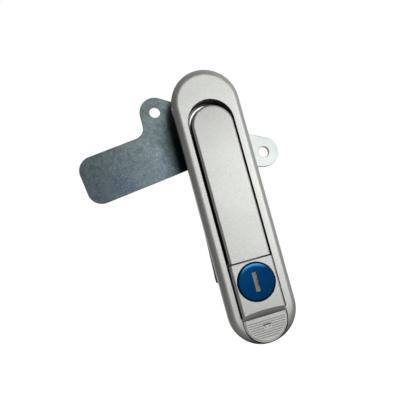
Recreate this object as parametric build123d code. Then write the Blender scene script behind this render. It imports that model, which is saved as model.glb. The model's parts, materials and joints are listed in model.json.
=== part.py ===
from build123d import *
import os
from math import atan2, cos, degrees, hypot, radians, sin, sqrt, tan

# Swing handle lock for a cabinet door, in millimetres.
# X is to the right seen from the front, Y runs back through the door, Z is up along the escutcheon.
# The origin is on the door's front face, on the spindle's axis.

# --- Escutcheon flange ---
flange_length = 150.0
flange_width = 37.0
flange_height = 4.8          # gasket to crown
spindle_to_top = 29.5
shoulder_width = 2.4         # tapered edge of the crown, seen from the front
shoulder_depth = 1.6
crease_round = 3.3
nose_length = 16.5           # the thumb end slopes down over this length
nose_drop = 2.0
gasket_thickness = 1.0
gasket_inset = 1.2
door_thickness = 2.0

# --- Slot and rear tray ---
slot_width = 25.5
tray_wall = 1.7
tray_depth = 6.5             # door face to tray floor
tray_floor = 2.0
lock_box_depth = 11.5        # door face to the rear edge of the lock box
box_wall = 1.5
box_above_block = 4.65       # lock box's top over the block's top

# --- Handle ---
handle_width = 22.6
handle_proud = 2.4           # face above the crown
handle_top_centre = -2.15    # centre of the round end, from the spindle
handle_to_block = 0.5        # gap between the handle's end and the lock block
handle_rim = 2.1             # thickness at the edge
keel_depth = 4.0             # keel below the rim
keel_width = 7.0
keel_inset = 0.2             # from the rim's sides
keel_top = -8.5
keel_end_chamfer = 1.2
handle_edge_round = 1.3
handle_fall_radius = 350.0   # the face falls away towards the round end
handle_fall_start = -15.0
pivot_y = -1.0
pivot_z = 1.0
hinge_pin_radius = 1.5
hinge_lug_radius = 3.2
hinge_lug_width = 4.8
lug_room = 0.4
catch_notch_depth = 2.4
catch_notch_height = 1.4
catch_ledge = 1.2

# --- Rotor ---
drum_radius = 12.45
drum_front = 1.6
drum_back = 6.0
rim_ring_radius = 11.0       # raised ring on the drum's front
rim_ring_wall = 0.7
rim_ring_height = 0.8
ear_thickness = 3.4
ear_side_gap = 0.2
ear_radius = 3.4
shaft_radius = 6.0
square_size = 8.4
boss_radius = 10.0
boss_back = 11.2
bush_wall = 1.5
o_ring_section = 0.8         # radius of the ring's section
o_ring_y = 4.6
retaining_washer_thickness = 0.5
retaining_ring_thickness = 0.8
retaining_ring_radius = 8.2
ring_groove_radius = 5.3
running_clearance = 0.04

# --- Cam plate ---
cam_front = 13.5
cam_thickness = 2.5
cam_drop_angle = 8.1         # tongue below level, in the locked position
tongue_length = 74.4
tongue_width = 27.0
tongue_offset = -3.6         # tongue's middle line from the spindle, square to the tongue
tongue_corner = 8.0
ear_hole_radius = 3.1
cam_ear_radius = 8.5
upper_ear = (-25.4, 16.6)
lower_ear = (29.6, -19.7)
cam_hub_radius = 10.4
cam_fillet = 6.5
cam_edge_round = 0.25
cam_upper_slope = 25.0       # edge from the hub to the lower ear
cam_lower_slope = 12.0       # edge from the tongue to the lower ear
cam_washer_radius = 7.0
cam_washer_thickness = 1.0
spring_washer_thickness = 1.1
cam_spring_washer_wall = 2.2
cam_spring_washer_split = 1.0
cam_screw_radius = 3.0
cam_screw_head = 5.0         # half the width across flats
cam_screw_head_height = 4.0

# --- Clamp bracket ---
bracket_drop = 25.0          # spindle to the base's upper end
bracket_to_box = 0.8         # past the lock box's top edge
bracket_arm_reach = 13.1     # arms below the base
bracket_thickness = 1.5
bracket_side_gap = 0.6
bracket_flare = 1.05         # arms spread at their lower end
bracket_straight = 30.0      # the part above the flare
bracket_screw_margin = (10.0, 6.6)
bracket_screw_radius = 2.0
bracket_screw_head_radius = 3.6
bracket_screw_head_height = 1.6
bracket_screw_socket = 1.5
bracket_screw_socket_depth = 1.0
bracket_boss_radius = 3.6
bracket_boss_front = 2.5

# --- Lock block ---
block_width = 23.8
block_length = 29.55
block_edge_round = 1.4
block_to_slot_end = 1.5      # the block reaches past the slot's parallel part
block_face_thickness = 2.5
block_wall = 1.4
block_foot_back = -2.4
block_foot_height = 7.0
block_seat_front = -3.0
step_height = 1.9
step_length_middle = 3.4
step_length_side = 2.5
end_relief = 0.3             # slope of the end face under the step, rise over depth
block_pin_radius = 1.0
block_pin_y = 3.0
block_pin_rise = 8.0         # above the block's lower end

# --- Key cylinder ---
cylinder_drop = 11.4         # below the block's top
cylinder_radius = 7.75
cylinder_flange_radius = 10.1
cylinder_flange_thickness = 1.2
cylinder_back = 4.4
plug_radius = 5.5
cap_radius = 10.2
cap_proud = 0.35
cap_thickness = 2.3
cap_edge_round = 0.9
cap_seat_gap = 0.12
seat_chamfer = 0.15
key_slot_width = 2.7
key_slot_height = 10.3
shutter_notches = 4
clip_thickness = 1.0
clip_radius = 9.3
clip_groove_depth = 0.5
lever_length = 9.0
lever_width = 4.0
lever_thickness = 1.4
lever_screw_radius = 1.25
lever_screw_head_radius = 2.4
lever_screw_head_height = 0.9

# --- Thumb button ---
button_radius = 12.0
button_margin = 0.9          # button's tip to the flange's end
button_side = 1.85           # straight side above the half-round
button_top_gap = 0.15
button_gap = 0.3
button_thickness = 2.0
button_rise = 1.3            # above the nose at its tip
pad_inset = 0.9              # the ribbed pad stands inside the button's outline
pad_height = 0.45            # pad over the sloped skirt round it
pad_edge = 0.2
skirt_drop = 0.3
button_hinge_drop = 8.9      # below the half-round's centre
button_hinge_y = -2.5
trunnion_radius = 0.7
trunnion_length = 1.0
pocket_floor = 0.5
button_well_radius = 10.2
button_well_rise = 3.5       # above the half-round's centre
button_leg_drop = 0.35       # below the button's top edge
button_leg_width = 5.0
button_leg_thickness = 1.8
button_leg_back = 9.0
rib_pitch = 1.2
rib_depth = 0.3
rib_border = 0.8
arrow_width = 3.1
arrow_height = 1.8
arrow_depth = 0.3
arrow_drop = 2.9             # below the half-round's centre

# --- Latch slide ---
latch_front = 8.6
latch_thickness = 1.2
latch_drop = 0.25            # below the block's top
latch_tip_drop = 2.6         # below the button's half-round centre
latch_width = 23.0
latch_neck_width = 18.6
latch_tip_width = 11.6
latch_leg_thickness = 1.1
latch_leg_width = 8.0
latch_hook_thickness = 1.0
latch_hook_reach = 0.35      # above the leg, towards the handle
latch_window_width = 7.0
latch_window_gap = (0.6, 0.4)  # above and below the button's leg
spring_slot_width = 3.0
spring_slot_length = 14.0
spring_slot_below = 3.0      # below the springs' seat
spring_seat_rise = 1.5       # above the slot's end
spring_x = 8.0
spring_radius = 1.0
spring_wire_radius = 0.2
spring_post_height = 1.5
latch_travel = 1.8
tab_width = 3.0              # block that the plug's lever stands under
tab_height = 1.4
cover_thickness = 1.2
cover_rib_width = 1.5
cover_screw_radius = 1.0
cover_screw_head_radius = 1.9
cover_screw_front = 6.3
cover_screw_socket = 0.8
cover_screw_socket_depth = 0.7
cover_boss_radius = 2.2
upper_screw_place = (11.2, 2.9)  # from the middle, and below the lock box's top
lower_screw_place = (10.9, 0.9)  # from the middle, and below the button's half-round centre

# --- Pop-up spring under the handle ---
popup_drop = 1.9             # below the keel's top
popup_radius = 1.5
popup_wire_radius = 0.25
popup_pitch = 1.2
popup_seat_y = 3.2

# --- Fits ---
snug = 0.02                  # radial gap of a pin or screw in its own hole
slip = 0.05                  # gap of a piece that is dropped into its seat

# --- Places worked out from the sizes ---
crown = -(gasket_thickness + flange_height)
flange_back = -gasket_thickness
flange_radius = flange_width / 2
flange_top_centre = spindle_to_top - flange_radius
flange_end = spindle_to_top - flange_length
flange_end_centre = flange_end + flange_radius
slot_radius = slot_width / 2
tray_radius = slot_radius + tray_wall
tray_back = tray_depth + tray_floor
button_centre = flange_end + button_margin + button_radius
button_top = button_centre + button_side
button_tip = button_centre - button_radius
block_end = button_top + button_top_gap
block_top = block_end + block_length
slot_end = block_end + block_to_slot_end
lock_box_top = block_top + box_above_block
nose_start = flange_end + nose_length
nose_radius = (nose_length**2 + nose_drop**2) / (2 * nose_drop)

handle_face = crown - handle_proud
handle_end = block_top + handle_to_block
handle_back = handle_face + handle_rim
handle_radius = handle_width / 2
keel_back = handle_back + keel_depth
lug_half = hinge_lug_width / 2
ear_start = lug_half + ear_side_gap
ear_end = ear_start + ear_thickness
popup_z = keel_top - popup_drop

drum_face = drum_front + rim_ring_height
bush_radius = shaft_radius + running_clearance + bush_wall
o_ring_radius = slot_radius - 0.15 - o_ring_section
ring_front = boss_back + retaining_washer_thickness
ring_back = ring_front + retaining_ring_thickness
cam_back = cam_front + cam_thickness
washer_back = cam_back + cam_washer_thickness
spring_washer_back = washer_back + spring_washer_thickness

door_gap = door_thickness + 0.1
bracket_inside = tray_radius + bracket_side_gap
bracket_outside = bracket_inside + bracket_thickness
bracket_base_front = tray_back + 0.1
bracket_base_back = bracket_base_front + bracket_thickness
bracket_top = -bracket_drop
bracket_base_end = lock_box_top + bracket_to_box
bracket_arm_end = bracket_base_end - bracket_arm_reach
bracket_screw_z = (bracket_top - bracket_screw_margin[0], bracket_base_end + bracket_screw_margin[1])

block_half = block_width / 2
block_face = handle_face
block_face_back = block_face + block_face_thickness
block_wall_back = latch_front - 0.2
pad_top_y = block_face + step_height
step_middle = block_end + step_length_middle
step_side = block_end + step_length_side
block_pin_z = block_end + block_pin_rise

cylinder_z = block_top - cylinder_drop
cap_front = block_face - cap_proud
cap_back = cap_front + cap_thickness
flange_ring_front = cap_back + 0.15
flange_ring_back = flange_ring_front + cylinder_flange_thickness
counterbore_radius = cap_radius + cap_seat_gap
block_ring_radius = counterbore_radius + 0.6
block_ring_back = flange_ring_back + 1.3
clip_front = block_ring_back
clip_back = clip_front + clip_thickness
clip_groove_radius = cylinder_radius - clip_groove_depth
lever_front = cylinder_back + 0.8
lever_back = lever_front + lever_thickness

pocket_radius = button_radius + button_gap
pocket_back = flange_back - pocket_floor
button_hinge_z = button_centre - button_hinge_drop
button_well_centre = button_centre + button_well_rise
button_leg_top = button_top - button_leg_drop
button_leg_bottom = button_leg_top - button_leg_thickness
arrow_top = button_centre - arrow_drop

latch_back = latch_front + latch_thickness
latch_top = block_top - latch_drop
latch_bottom = button_centre - latch_tip_drop
latch_shoulder = slot_end + latch_travel + 4 * slip
latch_taper_top = button_top - slip
latch_window_top = button_leg_top + latch_window_gap[0]
latch_window_bottom = button_leg_bottom - latch_window_gap[1]
spring_seat_z = slot_end + spring_seat_rise
spring_slot_bottom = spring_seat_z - spring_slot_below
spring_slot_top = spring_slot_bottom + spring_slot_length
latch_leg_bottom = latch_top - latch_leg_thickness
hook_front = keel_back - catch_ledge - catch_notch_height + 0.2
hook_back = hook_front + latch_hook_thickness
cover_back = lock_box_depth + cover_thickness
upper_cover_screw = (upper_screw_place[0], lock_box_top - upper_screw_place[1])
lower_cover_screw = (lower_screw_place[0], button_centre - lower_screw_place[1])


def slab(outline, front, back):
    """Prism of an X-Z outline between two depths."""
    return extrude(Plane.XZ.offset(-back) * outline, amount=back - front)


def rod(radius, front, back, x=0.0, z=0.0):
    """Cylinder along Y."""
    return slab(Pos(x, z) * Circle(radius), front, back)


def tube(outer, inner, front, back, x=0.0, z=0.0):
    return rod(outer, front, back, x, z) - rod(inner, front - 1, back + 1, x, z)


def cross_rod(radius, start, end, y, z):
    """Cylinder along X."""
    return extrude(Plane.YZ.offset(start) * Pos(y, z) * Circle(radius), amount=end - start)


def brick(left, right, front, back, bottom, top):
    middle = ((left + right) / 2, (front + back) / 2, (bottom + top) / 2)
    return Pos(*middle) * Box(right - left, back - front, top - bottom)


def stadium(radius, top_centre, bottom_centre):
    """Outline with two round ends."""
    length = top_centre - bottom_centre
    middle = Pos(0, (top_centre + bottom_centre) / 2) * Rectangle(2 * radius, length)
    return middle + Pos(0, top_centre) * Circle(radius) + Pos(0, bottom_centre) * Circle(radius)


def arch(radius, centre, bottom):
    """Outline with a round top and a straight bottom."""
    middle = Pos(0, (centre + bottom) / 2) * Rectangle(2 * radius, centre - bottom)
    return middle + Pos(0, centre) * Circle(radius)


def cup(radius, top, centre):
    """Outline with a straight top and a round bottom."""
    keep = Pos(0, top - 2 * radius) * Rectangle(2 * radius, 4 * radius)
    return stadium(radius, top + radius, centre) & keep


def nose_surface(z):
    """Depth of the crown at a height, on the straight part and on the sloped nose."""
    run = max(0.0, nose_start - z)
    return crown + nose_radius - sqrt(nose_radius**2 - run**2)


# --- Casting ---
def flange():
    body = slab(stadium(flange_radius, flange_top_centre, flange_end_centre), crown, flange_back)
    half = flange_width
    over_nose = brick(-half, half, crown - 1, crown + 2 * nose_drop, flange_end - 1, nose_start)
    body -= over_nose - cross_rod(nose_radius, -half, half, crown + nose_radius, nose_start)
    rim = [edge for edge in body.edges() if runs_round_crown(edge, flange_radius)]
    body = chamfer(rim, length=shoulder_depth, length2=shoulder_width)
    crease_radius = flange_radius - shoulder_width
    crease = [edge for edge in body.edges() if runs_round_crown(edge, crease_radius)]
    return fillet(crease, crease_round)


def runs_round_crown(edge, half_width):
    """True for an edge of the crown's outline at a half-width, but not where the nose starts."""
    box = edge.bounding_box()
    side = max(abs(box.min.X), abs(box.max.X))
    in_front = box.max.Y < flange_back - shoulder_depth / 2
    across_crown = box.size.Z < 0.01 and box.size.X > flange_radius / 2
    return in_front and abs(side - half_width) < shoulder_width / 4 and not across_crown


def tray_outline():
    return stadium(tray_radius, 0, flange_end_centre)


def lock_box_outline():
    return cup(tray_radius, lock_box_top, flange_end_centre)


def tray():
    body = slab(tray_outline(), flange_back, tray_back)
    body += slab(lock_box_outline(), tray_back - 1, lock_box_depth)
    body += rod(boss_radius, tray_back - 1, boss_back)
    return body


def tray_hollow():
    """Space inside the casting: handle recess, lock box, button pocket and well."""
    front = crown - 1
    hollow = slab(arch(slot_radius, 0, block_top), front, tray_depth)
    hollow += brick(-slot_radius, slot_radius, front, block_seat_front, slot_end, block_top)
    seat = block_half + slip
    hollow += brick(-seat, seat, front, lock_box_depth, slot_end, block_top)
    box_top = lock_box_top - box_wall
    hollow += brick(-slot_radius, slot_radius, tray_depth - 1, lock_box_depth, block_top, box_top)
    neck = block_half + 3 * slip
    hollow += brick(-neck, neck, front, lock_box_depth, block_end, slot_end)
    hollow += slab(cup(pocket_radius, block_end, button_centre), front, pocket_back)
    well = cup(button_well_radius, block_end, button_well_centre)
    hollow += slab(well, pocket_back - 0.1, lock_box_depth)
    return hollow


def cover_screw_places():
    return [(side * x, z) for x, z in (upper_cover_screw, lower_cover_screw) for side in (-1, 1)]


def body_housing():
    body = flange() + tray() - tray_hollow()
    for z in bracket_screw_z:
        body += rod(bracket_boss_radius, bracket_boss_front, tray_depth + 0.5, 0, z)
        body -= rod(bracket_screw_radius + snug, bracket_boss_front - 1, tray_back + 1, 0, z)
    body -= rod(bush_radius + snug, tray_depth - 1, boss_back + 1)
    for side in (-1, 1):
        x, z = upper_cover_screw
        post = rod(cover_boss_radius, cover_screw_front - 1, lock_box_depth, side * x, z)
        body += post & slab(tray_outline(), crown, lock_box_depth)
    for x, z in cover_screw_places():
        body -= rod(cover_screw_radius + snug, cover_screw_front, lock_box_depth + 1, x, z)
    wide = tray_radius + 1
    body -= cross_rod(block_pin_radius + snug, -wide, wide, block_pin_y, block_pin_z)
    reach = trunnion_end() + slip
    return body - cross_rod(trunnion_radius + slip, -reach, reach, button_hinge_y, button_hinge_z)


def gasket():
    outside = stadium(flange_radius - gasket_inset, flange_top_centre, flange_end_centre)
    inside = stadium(tray_radius + bracket_side_gap, 0, flange_end_centre)
    return slab(outside - inside, flange_back, 0)


# --- Clamp bracket ---
def bracket_outline(half, below, over):
    """Outline with straight sides that spread at the lower end."""
    knee = bracket_top - bracket_straight
    foot = half + bracket_flare * (knee - bracket_arm_end + below) / (knee - bracket_arm_end)
    top, low = bracket_top + over, bracket_arm_end - below
    right = [(foot, low), (half, knee), (half, top)]
    left = [(-half, top), (-half, knee), (-foot, low)]
    return make_face(Polyline(*right, *left, close=True))


def clamp_bracket():
    inner = bracket_outline(bracket_inside, 1, 1)
    channel = slab(bracket_outline(bracket_outside, 0, 0), door_gap, bracket_base_back)
    channel -= slab(inner, 0, bracket_base_front)
    channel -= slab(inner, 0, bracket_base_back + 1) - brick(
        -flange_width, flange_width, -1, bracket_base_back + 2, bracket_base_end, bracket_top + 2
    )
    corners = [edge for edge in channel.edges().filter_by(Axis.X) if edge.length < 2 * bracket_thickness]
    channel = fillet(corners, 2.0)
    for z in bracket_screw_z:
        channel -= rod(bracket_screw_radius + slip, tray_back, bracket_base_back + 1, 0, z)
    return channel


def clamp_screws():
    screws = []
    for z in bracket_screw_z:
        shank = rod(bracket_screw_radius, bracket_boss_front + 0.5, bracket_base_back, 0, z)
        head_back = bracket_base_back + bracket_screw_head_height
        head = rod(bracket_screw_head_radius, bracket_base_back, head_back, 0, z)
        socket = Plane.XZ.offset(-head_back) * Pos(0, z) * RegularPolygon(bracket_screw_socket, 6)
        screws.append(shank + head - extrude(socket, amount=bracket_screw_socket_depth))
    return Compound(screws)


# --- Handle and rotor ---
def handle_cap():
    """Face of the handle: flat, falling away at the round end, rounded at the sides but crisp below."""
    spare = handle_rim
    cap = slab(arch(handle_radius, handle_top_centre, handle_end - spare), handle_face, handle_back)
    wide = handle_width
    centre_y = handle_face + handle_fall_radius
    ahead = brick(-wide, wide, handle_face - 1, handle_back, handle_fall_start, spindle_to_top)
    cap -= ahead - cross_rod(handle_fall_radius, -wide, wide, centre_y, handle_fall_start)
    rim = [edge for edge in cap.edges() if on_handle_rim(edge)]
    cap = fillet(rim, handle_edge_round)
    return cap - brick(-wide, wide, handle_face - 1, handle_back + 1, handle_end - 2 * spare, handle_end)


def on_handle_rim(edge):
    """True for an edge of the face at the handle's sides or round end."""
    box = edge.bounding_box()
    in_front = box.max.Y < handle_back - 0.1
    lengthwise = box.size.Z > 0.1
    return in_front and lengthwise


def keel():
    """Grip under the handle, tapered so that it leaves the slot as the handle swings."""
    wide = handle_radius - keel_inset
    narrow = keel_width / 2
    right = [(wide, handle_back), (narrow, keel_back)]
    left = [(-narrow, keel_back), (-wide, handle_back)]
    section = make_face(Polyline(*right, *left, close=True))
    body = extrude(Plane.XY.offset(handle_end) * section, amount=keel_top - handle_end)
    ends = [edge for edge in body.edges().filter_by(Axis.X) if edge.center().Y > keel_back - 0.1]
    return chamfer(ends, keel_end_chamfer)


def handle():
    body = handle_cap() + keel()
    web = Pos((handle_back + pivot_y) / 2, pivot_z) * Rectangle(pivot_y - handle_back, 2 * hinge_lug_radius)
    lug = web + Pos(pivot_y, pivot_z) * Circle(hinge_lug_radius)
    body += extrude(Plane.YZ.offset(-lug_half) * lug, amount=hinge_lug_width)
    body -= cross_rod(hinge_pin_radius + running_clearance, -lug_half - 1, lug_half + 1, pivot_y, pivot_z)
    notch = latch_leg_width / 2 + 0.5
    notch_back = keel_back - catch_ledge
    notch_front = notch_back - catch_notch_height
    notch_top = handle_end + catch_notch_depth
    return body - brick(-notch, notch, notch_front, notch_back, handle_end - 1, notch_top)


def handle_pin():
    return cross_rod(hinge_pin_radius, -ear_end, ear_end, pivot_y, pivot_z)


def hinge_ears():
    foot = drum_face + slip
    web = Pos((foot + pivot_y) / 2, pivot_z) * Rectangle(foot - pivot_y, 2 * ear_radius)
    profile = web + Pos(pivot_y, pivot_z) * Circle(ear_radius)
    right = extrude(Plane.YZ.offset(ear_start) * profile, amount=ear_thickness)
    return right + mirror(right, Plane.YZ)


def drum():
    """Round head of the rotor, with a raised ring on its front."""
    ring = tube(rim_ring_radius, rim_ring_radius - rim_ring_wall, drum_front, drum_face + 0.1)
    return rod(drum_radius, drum_face, drum_back) + ring


def rotor():
    body = drum() + rod(shaft_radius, drum_back - 1, cam_front)
    square = Rot(0, 0, cam_drop_angle) * Rectangle(square_size, square_size)
    body += slab(square, cam_front - 1, cam_back - 0.2)
    body += hinge_ears()
    room = hinge_lug_radius + lug_room
    body -= brick(-ear_start, ear_start, pivot_y, pivot_y + room, pivot_z - room, pivot_z + room)
    body -= cross_rod(hinge_pin_radius + snug, -ear_end - 1, ear_end + 1, pivot_y, pivot_z)
    groove = o_ring_section + slip
    body -= tube(drum_radius + 1, o_ring_radius - groove, o_ring_y - groove, o_ring_y + groove)
    body -= tube(shaft_radius + 1, ring_groove_radius, ring_front, ring_back)
    body -= rod(popup_radius + popup_wire_radius + slip, drum_front - 1, popup_seat_y, 0, popup_z)
    body -= rod(cam_screw_radius + snug, drum_back, cam_back + 1)
    return body


def coil(radius, wire_radius, pitch, start, length, direction):
    """Spring wire wound about an axis, with the path's ends inside its length."""
    path = Helix(pitch=pitch, height=length - 2 * wire_radius, radius=radius)
    section = Plane(origin=path @ 0, z_dir=path % 0) * Circle(wire_radius)
    wire = Pos(0, 0, wire_radius) * sweep(section, path=path)
    return Plane(origin=start, z_dir=direction) * wire


def popup_spring():
    length = popup_seat_y - keel_back - slip
    return coil(popup_radius, popup_wire_radius, popup_pitch, (0, popup_seat_y, popup_z), length, (0, -1, 0))


def rotor_o_ring():
    return Plane(origin=(0, o_ring_y, 0), z_dir=(0, 1, 0)) * Torus(o_ring_radius, o_ring_section)


def rotor_bush():
    return tube(bush_radius, shaft_radius + running_clearance, tray_depth, boss_back)


def thrust_washer():
    return tube(slot_radius - 0.6, bush_radius + 0.5, drum_back, tray_depth)


def retaining_washer():
    return tube(retaining_ring_radius + 0.6, shaft_radius + slip, boss_back, ring_front)


def retaining_ring():
    ring = tube(retaining_ring_radius, ring_groove_radius + slip, ring_front, ring_back)
    return ring - brick(-3, 3, ring_front - 1, ring_back + 1, 0, 2 * retaining_ring_radius)


# --- Cam plate ---
def tangent_point(centre, radius, angle):
    return (centre[0] + radius * cos(radians(angle)), centre[1] + radius * sin(radians(angle)))


def on_tongue(along, across):
    """Point in the plate from its place along and across the tongue."""
    turn = radians(180 + cam_drop_angle)
    return (along * cos(turn) + across * sin(turn), along * sin(turn) - across * cos(turn))


def cam_outline():
    tongue_top = tongue_offset + tongue_width / 2
    tongue_low = tongue_offset - tongue_width / 2
    upper_side = [on_tongue(0, tongue_top), on_tongue(tongue_length, tongue_top)]
    lower_side = [on_tongue(tongue_length, tongue_low), on_tongue(0, tongue_low)]
    blade = make_face(Polyline(*upper_side, *lower_side, close=True))
    ends = [point for point in blade.vertices() if point.X < -tongue_length / 2]
    blade = fillet(ends, tongue_corner)

    outline = blade + Circle(cam_hub_radius) + upper_cam_arm(tongue_top) + lower_cam_arm()
    root = (upper_ear[0] - cam_ear_radius, on_tongue(cam_ear_radius - upper_ear[0], tongue_top)[1])
    inner_corner = outline.vertices().sort_by_distance((*root, 0))[0]
    return fillet(inner_corner, cam_fillet)


def upper_cam_arm(tongue_top):
    """Ear with a side straight down to the tongue, and a side tangent to the hub."""
    line = degrees(atan2(-upper_ear[1], -upper_ear[0]))
    lean = degrees((cam_hub_radius - cam_ear_radius) / hypot(*upper_ear))
    side = line + 90 + lean
    left = upper_ear[0] - cam_ear_radius
    corners = [(left, upper_ear[1]), tangent_point(upper_ear, cam_ear_radius, side)]
    corners += [tangent_point((0, 0), cam_hub_radius, side), on_tongue(0, 0)]
    corners += [(left, on_tongue(-left, tongue_top)[1])]
    return make_face(Polyline(*corners, close=True)) + Pos(*upper_ear) * Circle(cam_ear_radius)


def lower_cam_arm():
    """Ear with sides that spread to the hub above and to the tongue's lower edge."""
    upper_start = tangent_point(lower_ear, cam_ear_radius, 90 - cam_upper_slope)
    upper_end = (0, upper_start[1] + upper_start[0] * tan(radians(cam_upper_slope)))
    lower_start = tangent_point(lower_ear, cam_ear_radius, 270 - cam_lower_slope)
    left = -tongue_width / 2
    lower_end = (left, lower_start[1] + (lower_start[0] - left) * tan(radians(cam_lower_slope)))
    corners = [upper_start, upper_end, (left, 0), lower_end, lower_start]
    return make_face(Polyline(*corners, close=True)) + Pos(*lower_ear) * Circle(cam_ear_radius)


def cam_plate():
    outline = cam_outline()
    for ear in (upper_ear, lower_ear):
        outline -= Pos(*ear) * Circle(ear_hole_radius)
    hole = square_size + 2 * slip
    outline -= Rot(0, 0, cam_drop_angle) * Rectangle(hole, hole)
    plate = slab(outline, cam_front, cam_back)
    hub = cam_hub_radius
    rim = [edge for edge in plate.faces().sort_by(Axis.Y)[0].edges() if edge.center().length > hub]
    return fillet(rim, cam_edge_round)


def cam_washer():
    return tube(cam_washer_radius, cam_screw_radius + 0.2, cam_back, washer_back)


def cam_spring_washer():
    outer = cam_screw_radius + cam_spring_washer_wall
    split = cam_spring_washer_split / 2
    ring = tube(outer, cam_screw_radius + 0.2, washer_back, spring_washer_back)
    return ring - brick(-split, split, washer_back - 1, spring_washer_back + 1, 0, outer + 1)


def cam_screw():
    head_back = spring_washer_back + cam_screw_head_height
    head = slab(RegularPolygon(cam_screw_head, 6, major_radius=False), spring_washer_back, head_back)
    corner = cam_screw_head + cam_screw_head_height
    bevel = Cone(corner, cam_screw_head - 0.2, corner - cam_screw_head + 0.2)
    middle = head_back - (corner - cam_screw_head + 0.2) / 2
    head &= Plane(origin=(0, middle, 0), z_dir=(0, 1, 0)) * bevel
    return head + rod(cam_screw_radius, drum_back + 2, spring_washer_back)


# --- Lock block and key cylinder ---
def step_cut():
    """Sloped scoop at the block's lower end, curved at its upper edge."""
    half = block_half + 1
    far = block_end - 5
    left = (-block_half, step_side)
    right = (block_half, step_side)
    border = Polyline(right, (half, step_side), (half, far), (-half, far), (-half, step_side), left)
    region = make_face(ThreePointArc(left, (0, step_middle), right) + border)
    run = step_middle - block_end
    start = Plane.XZ.offset(-block_face) * region
    cut = extrude(start, amount=hypot(step_height, run), dir=(0, step_height, -run))
    return cut + slab(region, block_face - 1, block_face)


def end_slope():
    """Room under the block's lower edge for the button's upper edge as it is pressed."""
    deep = block_foot_back + 1
    rise = end_relief * (deep - pad_top_y)
    low = block_end - 1
    corners = [(pad_top_y, low), (pad_top_y, block_end), (deep, block_end + rise), (deep, low)]
    return extrude(Plane.YZ.offset(-flange_radius) * make_face(Polyline(*corners, close=True)), amount=flange_width)


def lock_block():
    half = block_half
    body = brick(-half, half, block_face, block_face_back, block_end, block_top)
    sides = body.edges().filter_by(Axis.Z).group_by(Axis.Y)[0]
    body = fillet(sides, block_edge_round)
    body += brick(-half, half, block_face_back - 1, block_foot_back, block_end, block_end + block_foot_height)
    inner = half - block_wall
    wall = brick(inner, half, block_face_back - 1, block_wall_back, slot_end + 0.2, block_top - 2)
    body += wall + mirror(wall, Plane.YZ)
    body += rod(block_ring_radius, block_face_back - 1, block_ring_back, 0, cylinder_z)
    body -= rod(counterbore_radius, block_face - 1, flange_ring_back, 0, cylinder_z)
    body -= rod(cylinder_radius + slip, block_face, block_ring_back + 1, 0, cylinder_z)
    body -= latch_gate(flange_ring_back, block_ring_back)
    body -= step_cut()
    body -= end_slope()
    body -= cross_rod(block_pin_radius + snug, -block_half - 1, block_half + 1, block_pin_y, block_pin_z)
    rims = body.edges().filter_by(GeomType.CIRCLE)
    mouth = [edge for edge in rims if edge.center().Y < block_face + 0.01 and edge.radius < block_half]
    return chamfer(mouth, seat_chamfer)


def latch_gate(front, back):
    """Way for the latch leg through a ring around the cylinder."""
    half = latch_leg_width / 2 + 0.5
    floor = latch_leg_bottom - latch_travel - 0.25
    return brick(-half, half, front, back + 1, floor, block_top + 1)


def block_pins():
    pin = cross_rod(block_pin_radius, block_half - block_wall, tray_radius, block_pin_y, block_pin_z)
    return Compound([pin, mirror(pin, Plane.YZ)])


def cylinder_body():
    body = rod(cylinder_flange_radius, flange_ring_front, flange_ring_back, 0, cylinder_z)
    body += rod(cylinder_radius, flange_ring_back, cylinder_back, 0, cylinder_z)
    body -= tube(cylinder_radius + 1, clip_groove_radius, clip_front, clip_back, 0, cylinder_z)
    bore = plug_radius + running_clearance
    return body - rod(bore, flange_ring_front - 1, cylinder_back + 1, 0, cylinder_z)


def cylinder_clip():
    ring = tube(clip_radius, clip_groove_radius + slip, clip_front, clip_back, 0, cylinder_z)
    return ring - latch_gate(clip_front - 1, clip_back)


def key_slot(width, height, front, back):
    outline = Pos(0, cylinder_z) * Rectangle(width, height)
    return slab(outline, front, back)


def cylinder_plug():
    body = rod(plug_radius, cap_back, lever_front, 0, cylinder_z)
    body -= key_slot(key_slot_width - 0.9, 2 * plug_radius - 2.4, cap_back - 1, cylinder_back - 1)
    return body - rod(lever_screw_radius + snug, cylinder_back - 0.6, lever_front + 1, 0, cylinder_z)


def key_cap():
    body = rod(cap_radius, cap_front, cap_back, 0, cylinder_z)
    rim = [edge for edge in body.edges() if edge.center().Y < cap_front + 0.01]
    body = fillet(rim, cap_edge_round)
    return body - key_slot(key_slot_width, key_slot_height, cap_front - 1, cap_back + 1)


def key_shutter():
    """Sprung metal flap that shows in the key slot."""
    front = cap_front + 0.9
    body = key_slot(key_slot_width - slip, key_slot_height - slip, front, cap_back)
    pitch = key_slot_height / shutter_notches
    for row in range(shutter_notches):
        z = cylinder_z + (row + 0.5) * pitch - key_slot_height / 2
        body -= brick(-0.8, 0.8, front - 1, front + 0.3, z - 0.35, z + 0.35)
    return body


def plug_lever():
    arm = Pos(0, cylinder_z - lever_length / 2) * Rectangle(lever_width, lever_length)
    outline = arm + Pos(0, cylinder_z) * Circle(lever_width * 0.75)
    plate = slab(outline, lever_front, lever_back)
    return plate - rod(lever_screw_radius + snug, lever_front - 1, lever_back + 1, 0, cylinder_z)


def lever_screw():
    head_back = lever_back + lever_screw_head_height
    screw = rod(lever_screw_radius, cylinder_back, lever_back, 0, cylinder_z)
    return screw + rod(lever_screw_head_radius, lever_back, head_back, 0, cylinder_z)


# --- Thumb button ---
def trunnion_end():
    drop = button_centre - button_hinge_z
    return sqrt(button_radius**2 - drop**2) + trunnion_length


def pad_surface(z):
    """Depth of the pad's sloped front at a height."""
    tip_y = nose_surface(button_tip) - button_rise
    share = (button_top - z) / (button_top - button_tip)
    return pad_top_y + share * (tip_y - pad_top_y)


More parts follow.
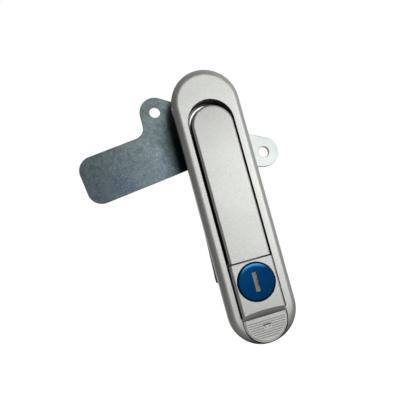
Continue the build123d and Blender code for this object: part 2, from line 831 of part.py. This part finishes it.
def pad_layer(outline, start, end):
    """Slice of the pad between two depths below its sloped front."""
    top, low = button_top + 1, button_tip - 1
    section = Polyline(
        (pad_surface(top) + start, top),
        (pad_surface(low) + start, low),
        (pad_surface(low) + end, low),
        (pad_surface(top) + end, top),
        close=True,
    )
    wedge = extrude(Plane.YZ.offset(-flange_radius) * make_face(section), amount=flange_width)
    return wedge & slab(outline, crown - 3, tray_back)


def arrow_outline(gap):
    half = arrow_width / 2 + gap
    top = arrow_top + gap
    tip = arrow_top - arrow_height - gap
    return make_face(Polyline((-half, top), (half, top), (0, tip), close=True))


def front_bevel(body, depth, width):
    """Slope round the front face, apart from its straight upper edge."""
    front = body.faces().sort_by(Axis.Y)[0]
    rim = [edge for edge in front.edges() if edge.center().Z < button_top - 0.1]
    return chamfer(rim, length=depth, length2=width)


def release_button():
    plan = cup(button_radius, button_top, button_centre)
    skirt = front_bevel(pad_layer(plan, pad_height, button_thickness), skirt_drop, pad_inset - pad_edge)
    pad = pad_layer(cup(button_radius - pad_inset + pad_edge, button_top, button_centre), 0, button_thickness)
    body = skirt + front_bevel(pad, pad_height, pad_edge)
    border = pad_inset + rib_border
    inner = cup(button_radius - border, button_top - border, button_centre)
    keep = Pos(0, arrow_top - arrow_height / 2) * Rectangle(arrow_width + 1.2, arrow_height + 1.0)
    count = int((button_top - button_tip - 2 * border) / rib_pitch)
    for row in range(count):
        z = button_top - border - (row + 0.5) * rib_pitch
        groove = Pos(0, z) * Rectangle(2 * button_radius, rib_pitch / 2)
        body -= pad_layer((groove & inner) - keep, -1, rib_depth)
    body -= pad_layer(arrow_outline(0), -1, arrow_depth)
    leg = button_leg_width / 2
    body += brick(-leg, leg, pad_top_y + 1, button_leg_back, button_leg_bottom, button_leg_top)
    return body + button_hinge()


def button_hinge():
    """Rib behind the pad's lower end, with a trunnion at each side."""
    low, high = button_hinge_z - trunnion_radius, button_hinge_z + trunnion_radius
    half = sqrt(button_radius**2 - (button_centre - low)**2) - slip
    rib_front = pad_surface(button_hinge_z) + button_thickness / 2
    rib = brick(-half, half, rib_front, button_hinge_y, low, high)
    return rib + cross_rod(trunnion_radius, -trunnion_end(), trunnion_end(), button_hinge_y, button_hinge_z)


def button_arrow():
    return pad_layer(arrow_outline(-snug), 0.05, arrow_depth)


# --- Latch slide and rear cover ---
def latch_slide():
    half = latch_width / 2
    neck = latch_neck_width / 2
    tip = latch_tip_width / 2
    right = [(half, latch_leg_bottom), (half, latch_shoulder), (neck, latch_shoulder)]
    right += [(neck, latch_taper_top), (tip, latch_bottom)]
    left = [(-x, z) for x, z in reversed(right)]
    body = slab(make_face(Polyline(*right, *left, close=True)), latch_front, latch_back)
    leg = latch_leg_width / 2
    body += brick(-leg, leg, hook_front, latch_back, latch_leg_bottom, latch_top)
    body += brick(-leg, leg, hook_front, hook_back, latch_top - 0.1, latch_top + latch_hook_reach)
    window = latch_window_width / 2
    body -= brick(-window, window, latch_front - 1, latch_back + 1, latch_window_bottom, latch_window_top)
    for side in (-1, 1):
        left, right = side * spring_x - spring_slot_width / 2, side * spring_x + spring_slot_width / 2
        body -= brick(left, right, latch_front - 1, latch_back + 1, spring_slot_bottom, spring_slot_top)
    tab_low = cylinder_z + lever_width / 2 + latch_travel + 0.3
    tab_end = tab_width - lever_length
    body += brick(-lever_length, tab_end, lever_front + 0.1, latch_front, tab_low, tab_low + tab_height)
    corners = [edge for edge in body.edges().filter_by(Axis.Y) if edge.center().Z < latch_bottom + 0.1]
    return fillet(corners, 1.5)


def latch_springs():
    middle = (latch_front + latch_back) / 2
    length = spring_slot_top - spring_seat_z - 2 * slip
    springs = []
    for side in (-1, 1):
        start = (side * spring_x, middle, spring_seat_z + slip)
        springs.append(coil(spring_radius, spring_wire_radius, 1.1, start, length, (0, 0, 1)))
    return Compound(springs)


def lock_cover():
    body = slab(lock_box_outline(), lock_box_depth, cover_back)
    inside = lock_box_depth + 0.2
    outer = latch_width / 2
    rib = brick(outer - cover_rib_width, outer, latch_back + 0.1, inside, slot_end + 1, block_top - 3)
    post_low = spring_seat_z - spring_post_height
    post = brick(spring_x - 1, spring_x + 1, latch_front - 0.1, inside, post_low, spring_seat_z)
    for piece in (rib, post):
        body += piece + mirror(piece, Plane.YZ)
    for x, z in cover_screw_places():
        body -= countersunk(x, z, snug)
    return body


def countersunk(x, z, gap):
    """Screw with a flush cone head, or its hole when a gap is given."""
    head_height = cover_screw_head_radius - cover_screw_radius
    end = cover_back if gap == 0 else cover_back + 0.5
    shank = rod(cover_screw_radius + gap, cover_screw_front + 0.2, end, x, z)
    wide = cover_screw_head_radius + gap
    narrow = cover_screw_radius + gap
    place = Plane(origin=(x, cover_back - head_height / 2, z), z_dir=(0, 1, 0))
    return shank + place * Cone(narrow, wide, head_height)


def cover_screws():
    screws = []
    for x, z in cover_screw_places():
        socket = Plane.XZ.offset(-cover_back) * Pos(x, z) * RegularPolygon(cover_screw_socket, 6)
        screws.append(countersunk(x, z, 0) - extrude(socket, amount=cover_screw_socket_depth))
    return Compound(screws)


nodes = [
    body_housing, gasket, clamp_bracket, clamp_screws, rotor, rotor_bush, thrust_washer, rotor_o_ring,
    retaining_washer, retaining_ring, handle, handle_pin, popup_spring, cam_plate, cam_washer,
    cam_spring_washer, cam_screw, lock_block, block_pins, cylinder_body, cylinder_clip, cylinder_plug,
    key_cap, key_shutter, plug_lever, lever_screw, release_button, button_arrow, latch_slide,
    latch_springs, lock_cover, cover_screws,
]

os.makedirs("parts", exist_ok=True)
for node in nodes:
    export_step(node(), f"parts/{node.__name__}.step")
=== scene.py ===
import bpy
import json
import math
from mathutils import Matrix, Vector


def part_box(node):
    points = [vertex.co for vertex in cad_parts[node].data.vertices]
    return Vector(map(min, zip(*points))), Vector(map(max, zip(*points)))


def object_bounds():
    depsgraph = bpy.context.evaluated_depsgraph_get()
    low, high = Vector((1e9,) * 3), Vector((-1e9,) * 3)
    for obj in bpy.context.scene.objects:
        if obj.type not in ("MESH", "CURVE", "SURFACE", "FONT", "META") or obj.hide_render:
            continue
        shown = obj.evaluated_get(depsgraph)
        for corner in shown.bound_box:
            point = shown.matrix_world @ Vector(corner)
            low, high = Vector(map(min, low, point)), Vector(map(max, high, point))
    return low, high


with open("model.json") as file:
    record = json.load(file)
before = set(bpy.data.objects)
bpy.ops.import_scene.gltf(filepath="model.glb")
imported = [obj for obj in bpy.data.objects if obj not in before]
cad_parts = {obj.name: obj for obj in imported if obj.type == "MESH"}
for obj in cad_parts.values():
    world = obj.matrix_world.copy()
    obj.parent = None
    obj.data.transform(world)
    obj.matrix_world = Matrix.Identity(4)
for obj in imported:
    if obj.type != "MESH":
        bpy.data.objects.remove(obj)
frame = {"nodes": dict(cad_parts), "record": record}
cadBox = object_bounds()
nodes = frame["nodes"]
print("frame loaded,", len(nodes), "nodes")


# Camera: held a little left of and below the lock, and rolled so that the lock leans
cameraSet = {
    "place": (-0.06848, -0.29228, -0.05849),
    "aim": (-0.01640, -0.00216, -0.03857),
    "rollDegrees": 15.12,
    "lens": 50.2,
    "sensor": 36.0,
    "near": 0.01,
}


def makeCamera():
    data = bpy.data.cameras.new("camera")
    data.lens = cameraSet["lens"]
    data.sensor_width = cameraSet["sensor"]
    data.clip_start = cameraSet["near"]
    camera = bpy.data.objects.new("camera", data)
    bpy.context.scene.collection.objects.link(camera)
    place = Vector(cameraSet["place"])
    direction = Vector(cameraSet["aim"]) - place
    level = direction.to_track_quat("-Z", "Y").to_matrix().to_4x4()
    roll = Matrix.Rotation(math.radians(-cameraSet["rollDegrees"]), 4, "Z")
    camera.matrix_world = Matrix.Translation(place) @ level @ roll
    bpy.context.scene.camera = camera


makeCamera()
bpy.context.scene.view_settings.view_transform = "Standard"
print("camera placed")


fullWhite = (1, 1, 1, 1)


# Node helpers. The owner is a material or the world, and a span is a pair of numbers
def addNode(owner, kind, **values):
    node = owner.node_tree.nodes.new(kind)
    for key, value in values.items():
        if hasattr(node, key):
            setattr(node, key, value)
        else:
            node.inputs[key].default_value = value
    return node


def link(owner, source, target):
    owner.node_tree.links.new(source, target)


def fillSocket(owner, value, socket):
    if isinstance(value, (int, float)):
        socket.default_value = value
    elif isinstance(value, tuple):
        socket.default_value = (*value, 1)
    else:
        link(owner, value, socket)


def mathNode(owner, operation, first, second):
    node = addNode(owner, "ShaderNodeMath", operation=operation)
    fillSocket(owner, first, node.inputs[0])
    fillSocket(owner, second, node.inputs[1])
    return node.outputs[0]


def plus(owner, first, second):
    return mathNode(owner, "ADD", first, second)


def minus(owner, first, second):
    return mathNode(owner, "SUBTRACT", first, second)


def times(owner, first, second):
    return mathNode(owner, "MULTIPLY", first, second)


def larger(owner, first, second):
    return mathNode(owner, "MAXIMUM", first, second)


def opposite(owner, share):
    return minus(owner, 1.0, share)


def rangeNode(owner, source, fromSpan, toSpan):
    node = addNode(owner, "ShaderNodeMapRange")
    for key, value in zip(("From Min", "From Max", "To Min", "To Max"), (*fromSpan, *toSpan)):
        node.inputs[key].default_value = value
    link(owner, source, node.inputs["Value"])
    return node.outputs["Result"]


# 0 at the span's first number, 1 at its second
def between(owner, source, span):
    return rangeNode(owner, source, span, (0.0, 1.0))


def splitPlace(owner, kind="Object"):
    coordinates = addNode(owner, "ShaderNodeTexCoord")
    split = addNode(owner, "ShaderNodeSeparateXYZ")
    link(owner, coordinates.outputs[kind], split.inputs[0])
    return split.outputs["X"], split.outputs["Y"], split.outputs["Z"]


def squared(owner, value):
    return mathNode(owner, "POWER", value, 2.0)


def distanceFrom(owner, across, along):
    return mathNode(owner, "POWER", plus(owner, squared(owner, across), squared(owner, along)), 0.5)


# Light: one big soft panel at the front right and a faint one below it,
# in a room that is dark at the left and pale behind. The spans say how far a ray points right or back
lightSet = {
    "key": {"azimuth": 30, "elevation": 7, "distance": 0.9, "size": (0.95, 0.52), "watts": 3.05},
    "low": {"azimuth": 20, "elevation": -21, "distance": 0.9, "size": (0.60, 0.20), "watts": 0.36},
    "aim": (0, 0, -0.045),
    "leftLevel": 0.12,
    "rightLevel": 0.44,
    "sideSpan": (-0.6, 0.6),
    "backLevel": 0.50,
    "backSpan": (0.0, 0.5),
}


def makePanel(name, spec):
    data = bpy.data.lights.new(name, "AREA")
    data.shape = "RECTANGLE"
    data.size, data.size_y = spec["size"]
    data.energy = spec["watts"]
    panel = bpy.data.objects.new(name, data)
    bpy.context.scene.collection.objects.link(panel)
    azimuth, rise = (math.radians(spec[key]) for key in ("azimuth", "elevation"))
    level = math.cos(rise)
    way = Vector((math.sin(azimuth) * level, -math.cos(azimuth) * level, math.sin(rise)))
    panel.location = Vector(lightSet["aim"]) + way * spec["distance"]
    panel.rotation_euler = (-way).to_track_quat("-Z", "Y").to_euler()


# Camera rays see plain white, and so do mirror and clear rays that leave towards the back
def whiteShare(owner, behind):
    rays = addNode(owner, "ShaderNodeLightPath")
    mirror = larger(owner, rays.outputs["Is Glossy Ray"], rays.outputs["Is Transmission Ray"])
    return larger(owner, rays.outputs["Is Camera Ray"], times(owner, mirror, behind))


def makeRoom():
    world = bpy.data.worlds.new("room")
    bpy.context.scene.world = world
    world.use_nodes = True
    world.node_tree.nodes.clear()
    output = addNode(world, "ShaderNodeOutputWorld")
    sideways, backwards, _ = splitPlace(world, "Generated")
    levels = (lightSet["leftLevel"], lightSet["rightLevel"])
    front = rangeNode(world, sideways, lightSet["sideSpan"], levels)
    behind = between(world, backwards, lightSet["backSpan"])
    room = addNode(world, "ShaderNodeBackground")
    link(world, plus(world, front, times(world, behind, lightSet["backLevel"])), room.inputs["Strength"])
    backdrop = addNode(world, "ShaderNodeBackground", Color=fullWhite)
    mix = addNode(world, "ShaderNodeMixShader")
    sources = (whiteShare(world, behind), room.outputs[0], backdrop.outputs[0])
    for source, socket in zip(sources, mix.inputs):
        link(world, source, socket)
    link(world, mix.outputs[0], output.inputs[0])


makePanel("keyPanel", lightSet["key"])
makePanel("lowPanel", lightSet["low"])
makeRoom()
print("lights placed")


# Materials are small recipes of noise, a colour spread, a roughness spread and a bump.
# A noise is written as its scale, detail and roughness
noiseSpan = (0.3, 0.7)  # nearly all that a noise gives
noiseMiddle = 0.5


def newFinish(name, metallic=0.0, specular=0.5):
    material = bpy.data.materials.new(name)
    material.use_nodes = True
    shader = material.node_tree.nodes["Principled BSDF"]
    shader.inputs["Metallic"].default_value = metallic
    shader.inputs["Specular IOR Level"].default_value = specular
    return material


def noiseNode(material, recipe, stretch=(1, 1, 1)):
    scale, detail, roughness = recipe
    coordinates = addNode(material, "ShaderNodeTexCoord")
    mapping = addNode(material, "ShaderNodeMapping", Scale=stretch)
    link(material, coordinates.outputs["Object"], mapping.inputs["Vector"])
    noise = addNode(material, "ShaderNodeTexNoise", Scale=scale, Detail=detail, Roughness=roughness)
    link(material, mapping.outputs["Vector"], noise.inputs["Vector"])
    return noise.outputs["Fac"]


def colourSpread(material, factor, span, first, second):
    ramp = addNode(material, "ShaderNodeValToRGB")
    for element, place, colour in zip(ramp.color_ramp.elements, span, (first, second)):
        element.position = place
        element.color = (*colour, 1)
    link(material, factor, ramp.inputs["Fac"])
    return ramp.outputs["Color"]


def blendColours(material, factor, first, second, mode="MIX"):
    mix = addNode(material, "ShaderNodeMix", data_type="RGBA", blend_type=mode)
    # sockets 6 and 7 are the two colours, and output 2 is the mixed one
    for value, socket in ((factor, mix.inputs[0]), (first, mix.inputs[6]), (second, mix.inputs[7])):
        fillSocket(material, value, socket)
    return mix.outputs[2]


def bumpNode(material, height, depth, strength=0.5):
    bump = addNode(material, "ShaderNodeBump", Strength=strength, Distance=depth)
    link(material, height, bump.inputs["Height"])
    return bump.outputs["Normal"]


def finishWith(material, colour, roughness, normal):
    shader = material.node_tree.nodes["Principled BSDF"]
    for source, name in ((colour, "Base Color"), (roughness, "Roughness"), (normal, "Normal")):
        link(material, source, shader.inputs[name])
    return material


# Floor: a plain pale sheet below the lock, white to the camera apart from the shadow
floorSet = {
    "drop": 0.22,
    "size": 6.0,
    "colour": (0.40, 0.40, 0.39),
    "mottle": 0.96,
    "grain": (40.0, 2.0, 0.5),
    "roughness": 0.9,
    "specular": 0.1,
    "lift": 0.92,
    "backSpan": (0.1, 0.6),
}


def floorPaint():
    material = newFinish("floorPaint", specular=floorSet["specular"])
    shader = material.node_tree.nodes["Principled BSDF"]
    shader.inputs["Roughness"].default_value = floorSet["roughness"]
    darker = tuple(floorSet["mottle"] * value for value in floorSet["colour"])
    paint = blendColours(material, noiseNode(material, floorSet["grain"]), floorSet["colour"], darker)
    link(material, paint, shader.inputs["Base Color"])
    behind = between(material, splitPlace(material)[1], floorSet["backSpan"])
    glow = times(material, whiteShare(material, behind), floorSet["lift"])
    link(material, glow, shader.inputs["Emission Strength"])
    shader.inputs["Emission Color"].default_value = fullWhite
    return material


def makeFloor():
    level = cadBox[0][2] - floorSet["drop"]
    bpy.ops.object.select_all(action="DESELECT")
    bpy.ops.mesh.primitive_plane_add(size=floorSet["size"], location=(0, 0, level))
    floor = bpy.context.active_object
    floor.name = "floor"
    bpy.ops.object.transform_apply(location=True)
    floor.data.materials.append(floorPaint())


makeFloor()
print("floor laid")


# Satin silver of the castings: sprayed metal flake, so a fine even grain with a slight drift of tone.
# Where a shade mask is given, a dark tone is painted onto recess walls, grooves and seams as painted
# shade
silverSet = {
    "pale": (0.71, 0.72, 0.69),
    "dark": (0.57, 0.58, 0.555),
    # the dark tone used for painted shade
    "shadeTone": (0.10, 0.10, 0.10),
    "metallic": 0.85,
    "drift": (28.0, 4.0, 0.55),
    "driftShare": 0.4,
    "flake": (1500.0, 2.0, 0.6),
    "flakeShare": 0.6,
    "toneSpan": (0.36, 0.64),
    "roughness": (0.36, 0.46),
    "grainDepth": 0.000014,
    "grainStrength": 0.6,
}


# The shade mask says where painted shade, a dark tone, goes, and the outline where a painted dark line
# does
def satinSilver(
    name, shade=None, shadeTone=silverSet["shadeTone"], lift=1.0, metallic=silverSet["metallic"], outline=None
):
    material = newFinish(name, metallic)
    drift = noiseNode(material, silverSet["drift"])
    flake = noiseNode(material, silverSet["flake"])
    slow = times(material, drift, silverSet["driftShare"])
    fine = times(material, flake, silverSet["flakeShare"])
    # lift scales the whole tone, which paints a piece lighter or darker to stand in for how the light
    # falls on it
    dark, pale = (tuple(lift * value for value in silverSet[key]) for key in ("dark", "pale"))
    colour = colourSpread(material, plus(material, slow, fine), silverSet["toneSpan"], dark, pale)
    if shade:
        colour = blendColours(material, shade(material), colour, shadeTone)
    if outline:
        colour = blendColours(material, outline(material), colour, silverSet["shadeTone"])
    roughness = rangeNode(material, drift, noiseSpan, silverSet["roughness"])
    normal = bumpNode(material, flake, silverSet["grainDepth"], silverSet["grainStrength"])
    return finishWith(material, colour, roughness, normal)


# Distance from the middle line of a round-ended slot, seen from the front
def slotDistance(material, topZ, lowZ):
    across, _, along = splitPlace(material)
    over = larger(material, minus(material, along, topZ), 0.0)
    under = mathNode(material, "MINIMUM", minus(material, along, lowZ), 0.0)
    return distanceFrom(material, across, plus(material, over, under))


# Housing: painted shade on the slot's walls and floor, and a lighter painted shade on the outer side wall
# below the tapered edge
recessSet = {
    "slotEdge": (0.01268, 0.01282),
    "slotTop": 0.0,
    "slotLow": -0.1076,
    "slotDepth": (-0.0056, -0.0044),
    "wallDepth": (-0.0045, -0.0036),
    "wallShade": 0.75,
}


def housingShade(material):
    depth = splitPlace(material)[1]
    middle = slotDistance(material, recessSet["slotTop"], recessSet["slotLow"])
    outOfSlot = between(material, middle, recessSet["slotEdge"])
    inDepth = between(material, depth, recessSet["slotDepth"])
    slot = times(material, opposite(material, outOfSlot), inDepth)
    wall = times(material, between(material, depth, recessSet["wallDepth"]), recessSet["wallShade"])
    return larger(material, slot, times(material, outOfSlot, wall))


# Handle and block: painted shade on their side walls inside the slot, and a painted dark line where their
# two ends meet at the seam
seamSet = {"near": 0.00027, "far": 0.00012, "sideDepth": (-0.0076, -0.0058)}


def seamShade(material, endZ, inwards):
    _, depth, along = splitPlace(material)
    seam = between(material, along, (endZ + inwards * seamSet["near"], endZ + inwards * seamSet["far"]))
    return larger(material, seam, between(material, depth, seamSet["sideDepth"]))


def handleShade(material):
    return seamShade(material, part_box("handle")[0][2], 1)


def blockShade(material):
    return seamShade(material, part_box("lock_block")[1][2], -1)


# Button: painted shade between the ribs. The pad's front is a plane, sloped from its top to its tip
padSet = {
    "slope": 0.0722,
    "groove": (0.00010, 0.00022),
    "edge": (0.01085, 0.01100),
    "shadeTone": (0.51, 0.51, 0.50),
    # a lighter copy of the silver, painted to stand in for light that the sloped pad doesn't catch
    "lift": 1.34,
    "metallic": 0.7,
    # the painted shadow line round the arrow
    "outline": 0.00042,
    "outlineTop": 0.00085,
    "outlineTip": (0.0002, 0.0006),
    "outlineSoft": 0.0002,
    "outlineShade": 0.95,
}


def padShade(material):
    _, depth, along = splitPlace(material)
    low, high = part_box("release_button")
    plane = plus(material, times(material, minus(material, high[2], along), padSet["slope"]), low[1])
    groove = between(material, minus(material, depth, plane), padSet["groove"])
    middle = slotDistance(material, recessSet["slotTop"], recessSet["slotLow"])
    return times(material, groove, opposite(material, between(material, middle, padSet["edge"])))


# A thin dark line of painted shadow round the arrow, widest above it
def arrowShadowLine(material):
    across, _, along = splitPlace(material)
    low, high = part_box("button_arrow")
    height = high[2] - low[2]
    rise = minus(material, along, low[2])
    flank = times(material, rise, high[0] / height)
    sideways = minus(material, mathNode(material, "ABSOLUTE", across, 0.0), flank)
    soft, top = padSet["outlineSoft"], height + padSet["outlineTop"]
    inside = between(material, sideways, (padSet["outline"], padSet["outline"] - soft))
    below = between(material, rise, (top, top - soft))
    above = between(material, rise, padSet["outlineTip"])
    band = times(material, inside, times(material, above, below))
    return times(material, band, padSet["outlineShade"])


# Bright zinc on the cam plate: cloudy blue-grey, fine dark mottle and small bright specks.
# On its front the tongue has a painted shadow and dark reflection near the housing, and the right-hand
# ear a paler painted highlight
zincSet = {
    "blue": (0.092, 0.130, 0.172),
    "grey": (0.150, 0.186, 0.205),
    "cloud": (60.0, 5.0, 0.65),
    "cloudSpan": (0.36, 0.64),
    "green": (0.142, 0.186, 0.182),
    "greenSpan": (-0.012, 0.022),
    "patch": (30.0, 2.0, 0.55),
    "patchReach": 0.03,
    "fleck": (0.27, 0.32, 0.34),
    "speck": (1300.0, 3.0, 0.75),
    "speckSpan": (0.50, 0.72),
    "speckShare": 0.9,
    "mottle": (0.062, 0.088, 0.118),
    "blotch": (480.0, 4.0, 0.75),
    "blotchSpan": (0.48, 0.66),
    "blotchShare": 0.62,
    # the painted shadow and dark reflection beside the housing
    "paintedShadow": (0.36, 0.40, 0.40),
    "paintedShadowSpan": (-0.0284, -0.0212),
    "paintedShadowReach": 0.008,
    "paintedShadowTop": (0.012, -0.002),
    # the right-hand ear's painted highlight
    "ear": (0.41, 0.44, 0.42),
    "earSpan": (0.010, 0.022),
    "frontOnly": (0.0008, 0.0012),
    "edge": (0.10, 0.12, 0.12),
    "edgeFront": (0.0003, 0.0005),
    "edgeBack": (0.00005, 0.0002),
    "roughness": (0.24, 0.34),
    "bumpDepth": 0.00002,
}


def zincPlate():
    material = newFinish("zincPlate", metallic=1.0)
    across, depth, along = splitPlace(material)
    cloud, patch, speck, blotch = (
        noiseNode(material, zincSet[key]) for key in ("cloud", "patch", "speck", "blotch")
    )
    base = colourSpread(material, cloud, zincSet["cloudSpan"], zincSet["blue"], zincSet["grey"])
    height = plus(material, along, times(material, patch, zincSet["patchReach"]))
    base = blendColours(material, between(material, height, zincSet["greenSpan"]), base, zincSet["green"])
    bright = rangeNode(material, speck, zincSet["speckSpan"], (0.0, zincSet["speckShare"]))
    base = blendColours(material, bright, base, zincSet["fleck"])
    murky = rangeNode(material, blotch, zincSet["blotchSpan"], (0.0, zincSet["blotchShare"]))
    base = blendColours(material, murky, base, zincSet["mottle"])

    # Painted shadow and dark reflection on the tongue's front beside the housing
    front, back = (corner[1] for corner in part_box("cam_plate"))
    onFront = between(material, depth, tuple(back - value for value in zincSet["frontOnly"]))
    onTongue = between(material, along, zincSet["paintedShadowTop"])
    wander = times(material, minus(material, patch, noiseMiddle), zincSet["paintedShadowReach"])
    nearHousing = between(material, plus(material, across, wander), zincSet["paintedShadowSpan"])
    shadowShare = times(material, nearHousing, times(material, onFront, onTongue))
    shadowed = blendColours(material, 1.0, base, zincSet["paintedShadow"], "MULTIPLY")
    base = blendColours(material, shadowShare, base, shadowed)
    # Painted highlight: the right-hand ear's front is paler
    earShare = times(material, between(material, across, zincSet["earSpan"]), onFront)
    base = blendColours(material, earShare, base, zincSet["ear"])

    behindFront = between(material, depth, tuple(front + value for value in zincSet["edgeFront"]))
    beforeBack = between(material, depth, tuple(back - value for value in zincSet["edgeBack"]))
    base = blendColours(material, times(material, behindFront, beforeBack), base, zincSet["edge"])
    roughness = rangeNode(material, cloud, noiseSpan, zincSet["roughness"])
    normal = bumpNode(material, plus(material, cloud, speck), zincSet["bumpDepth"])
    return finishWith(material, base, roughness, normal)


# Blue cap: glossy coloured metal with a faint drift, very fine scuffs and a painted highlight, a paler
# arc on the upper part of its rim
capSet = {
    "deep": (0.0008, 0.022, 0.076),
    "clear": (0.0014, 0.036, 0.112),
    "drift": (90.0, 3.0, 0.55),
    "scuff": (700.0, 3.0, 0.6),
    "scuffStretch": (1.0, 1.0, 0.12),
    "roughness": (0.20, 0.28),
    "bumpDepth": 0.000006,
    "rimHighlight": (0.042, 0.25, 0.49),
    "rimInner": (0.0079, 0.0088),
    "rimOuter": (0.0092, 0.0098),
    "rimRise": (0.0058, 0.0088),
    "rimShare": 0.85,
}


def paintedRimHighlight(material):
    low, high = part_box("key_cap")
    across, _, along = splitPlace(material)
    rise = minus(material, along, (low[2] + high[2]) / 2)
    radius = distanceFrom(material, across, rise)
    inner = between(material, radius, capSet["rimInner"])
    outer = between(material, radius, capSet["rimOuter"])
    ring = times(material, inner, opposite(material, outer))
    arc = times(material, between(material, rise, capSet["rimRise"]), capSet["rimShare"])
    return times(material, ring, arc)


def blueCap():
    material = newFinish("blueCap", metallic=1.0)
    drift = noiseNode(material, capSet["drift"])
    scuff = noiseNode(material, capSet["scuff"], capSet["scuffStretch"])
    colour = colourSpread(material, drift, noiseSpan, capSet["deep"], capSet["clear"])
    # the painted highlight on the rim's upper arc
    colour = blendColours(material, paintedRimHighlight(material), colour, capSet["rimHighlight"])
    roughness = rangeNode(material, scuff, noiseSpan, capSet["roughness"])
    return finishWith(material, colour, roughness, bumpNode(material, scuff, capSet["bumpDepth"]))


# Plain metals share one recipe: base tone, how far it drops, how shiny, and how tool marks are stretched
metalSet = {
    "steel": {
        "tone": (0.50, 0.51, 0.52), "drop": 0.10, "roughness": (0.24, 0.38), "stretch": (1.0, 1.0, 0.1),
    },
    "springSteel": {
        "tone": (0.36, 0.36, 0.37), "drop": 0.08, "roughness": (0.18, 0.30), "stretch": (1.0, 0.15, 1.0),
    },
    "brass": {
        "tone": (0.46, 0.44, 0.36), "drop": 0.12, "roughness": (0.20, 0.36), "stretch": (1.0, 1.0, 0.15),
    },
    # near-white, a painted highlight on the rotor's ring
    "ringSteel": {
        "tone": (0.95, 0.96, 0.96), "drop": 0.05, "roughness": (0.22, 0.30), "stretch": (1.0, 1.0, 1.0),
    },
    "shutterBrass": {
        "tone": (0.26, 0.27, 0.25), "drop": 0.15, "roughness": (0.3, 0.45), "stretch": (0.3, 1.0, 1.0),
    },
    "nickel": {
        "tone": (0.66, 0.65, 0.62), "drop": 0.06, "roughness": (0.12, 0.22), "stretch": (0.2, 1.0, 1.0),
    },
}
markSet = {"drift": (160.0, 3.0, 0.55), "marks": (1800.0, 2.0, 0.5), "bumpDepth": 0.000008}


def plainMetal(name, shade=None, shadeTone=None):
    spec = metalSet[name]
    material = newFinish(name, metallic=1.0)
    drift = noiseNode(material, markSet["drift"])
    marks = noiseNode(material, markSet["marks"], spec["stretch"])
    dark = tuple(value - spec["drop"] for value in spec["tone"])
    colour = colourSpread(material, drift, noiseSpan, dark, spec["tone"])
    if shade:
        colour = blendColours(material, shade(material), colour, shadeTone)
    roughness = rangeNode(material, marks, noiseSpan, spec["roughness"])
    return finishWith(material, colour, roughness, bumpNode(material, marks, markSet["bumpDepth"]))


# Rotor: painted shade over all of it outside the raised ring's radius or deep in the housing; what stands
# forward inside that radius, the raised ring and the hinge ears, keeps the near-white ring tone, which on
# the ring is a painted highlight
ringSet = {
    "radius": (0.01085, 0.01109),
    "depth": (0.0020, 0.0021),
    "shadeTone": (0.10, 0.105, 0.105),
}


def rotorShade(material):
    across, depth, along = splitPlace(material)
    outside = between(material, distanceFrom(material, across, along), ringSet["radius"])
    return larger(material, outside, between(material, depth, ringSet["depth"]))


# Dark and pale coverings: paint, rubber and the white mark
coverSet = {
    "blackPaint": {
        "dark": (0.012, 0.012, 0.013),
        "pale": (0.028, 0.028, 0.03),
        "grain": (900.0, 3.0, 0.6),
        "bumpDepth": 0.00003,
        "roughness": (0.75, 0.9),
        "specular": 0.05,
        "metallic": 0.0,
    },
    "blackRubber": {
        "dark": (0.010, 0.010, 0.010),
        "pale": (0.022, 0.022, 0.021),
        "grain": (1400.0, 3.0, 0.6),
        "bumpDepth": 0.00004,
        "roughness": (0.6, 0.8),
        "specular": 0.2,
        "metallic": 0.0,
    },
    "whiteMark": {
        "dark": (0.94, 0.94, 0.93),
        "pale": (0.98, 0.98, 0.98),
        "grain": (1500.0, 3.0, 0.6),
        "bumpDepth": 0.00001,
        "roughness": (0.35, 0.45),
        "specular": 0.5,
        "metallic": 0.4,
    },
}


def covering(name):
    spec = coverSet[name]
    material = newFinish(name, spec["metallic"], spec["specular"])
    grain = noiseNode(material, spec["grain"])
    colour = colourSpread(material, grain, noiseSpan, spec["dark"], spec["pale"])
    roughness = rangeNode(material, grain, noiseSpan, spec["roughness"])
    return finishWith(material, colour, roughness, bumpNode(material, grain, spec["bumpDepth"]))


finishes = {
    "satin_silver": satinSilver("satinSilver"),
    "zinc_plate": zincPlate(),
    "blue_cap": blueCap(),
    "steel": plainMetal("steel"),
    "spring_steel": plainMetal("springSteel"),
    "brass": plainMetal("brass"),
    "nickel": plainMetal("nickel"),
    "black_paint": covering("blackPaint"),
    "black_rubber": covering("blackRubber"),
    "white_mark": covering("whiteMark"),
}

# Pieces with painted shade on their walls and grooves. The handle and block are darker copies of the
# silver and the button a lighter one, painted to stand in for how the light falls on them
paintedLightLevel = {"handle": 0.95, "block": 0.93}
ownFinish = {
    "body_housing": satinSilver("satinSilverHousing", housingShade),
    "handle": satinSilver("satinSilverHandle", handleShade, lift=paintedLightLevel["handle"]),
    "lock_block": satinSilver("satinSilverBlock", blockShade, lift=paintedLightLevel["block"]),
    "release_button": satinSilver(
        "satinSilverButton", padShade, padSet["shadeTone"], padSet["lift"], padSet["metallic"], arrowShadowLine
    ),
    "rotor": plainMetal("ringSteel", rotorShade, ringSet["shadeTone"]),
    "key_shutter": plainMetal("shutterBrass"),
}
print("materials made,", len(finishes) + len(ownFinish))


def dressNodes():
    for part in frame["record"]["subparts"]:
        piece = nodes[part["node"]]
        finish = ownFinish.get(part["node"], finishes[part["material_slot"]])
        if not piece.material_slots:
            piece.data.materials.append(finish)
        for place in piece.material_slots:
            place.material = finish


dressNodes()
print("castings, plates and fasteners dressed")
